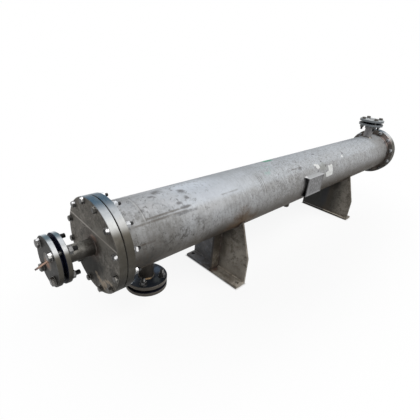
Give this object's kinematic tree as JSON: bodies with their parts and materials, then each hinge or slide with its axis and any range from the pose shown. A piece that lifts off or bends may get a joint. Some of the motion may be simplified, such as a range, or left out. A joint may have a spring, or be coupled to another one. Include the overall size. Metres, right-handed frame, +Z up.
{
  "type": "shell and tube heat exchanger",
  "caption": "Horizontal shell and tube heat exchanger on two saddles, with bolted flat covers and blanked nozzles.",
  "frame": {"origin": "on the floor, at the middle of the four anchor holes, under the middle of the shell", "axes": "+X along the shell from the front end to the rear end, +Y across it, +Z up"},
  "size_m": [2.7387, 0.348, 0.633],
  "materials": {
    "shell_steel": "dull mottled stainless",
    "flange_steel": "turned, weathered",
    "cover_steel": "dull, stained",
    "nozzle_steel": "turned, weathered",
    "gasket_sheet": "matt",
    "saddle_steel": "weathered plate",
    "plate_aluminium": "satin",
    "copper": "tarnished copper"
  },
  "bodies": {
    "root": {"shell": "shell_steel", "front_shell_flange": "flange_steel", "front_body_gasket": "gasket_sheet", "front_cover": "cover_steel", "rear_shell_flange": "flange_steel", "rear_body_gasket": "gasket_sheet", "rear_cover": "cover_steel", "front_axial_neck": "nozzle_steel", "front_axial_flange": "nozzle_steel", "front_axial_gasket": "gasket_sheet", "front_axial_blind": "nozzle_steel", "rear_axial_neck": "nozzle_steel", "rear_axial_flange": "nozzle_steel", "rear_axial_gasket": "gasket_sheet", "rear_axial_blind": "nozzle_steel", "bottom_neck": "nozzle_steel", "bottom_flange": "nozzle_steel", "bottom_gasket": "gasket_sheet", "bottom_blind": "nozzle_steel", "top_neck": "nozzle_steel", "top_flange": "nozzle_steel", "top_gasket": "gasket_sheet", "top_blind": "nozzle_steel", "front_saddle_base": "saddle_steel", "front_saddle_web": "saddle_steel", "front_saddle_rib": "saddle_steel", "rear_saddle_base": "saddle_steel", "rear_saddle_web": "saddle_steel", "rear_saddle_rib": "saddle_steel", "nameplate_bracket": "saddle_steel", "nameplate": "plate_aluminium", "drain_boss": "nozzle_steel", "drain_plug": "nozzle_steel", "copper_vent_tube": "copper"}
  },
  "joints": []
}
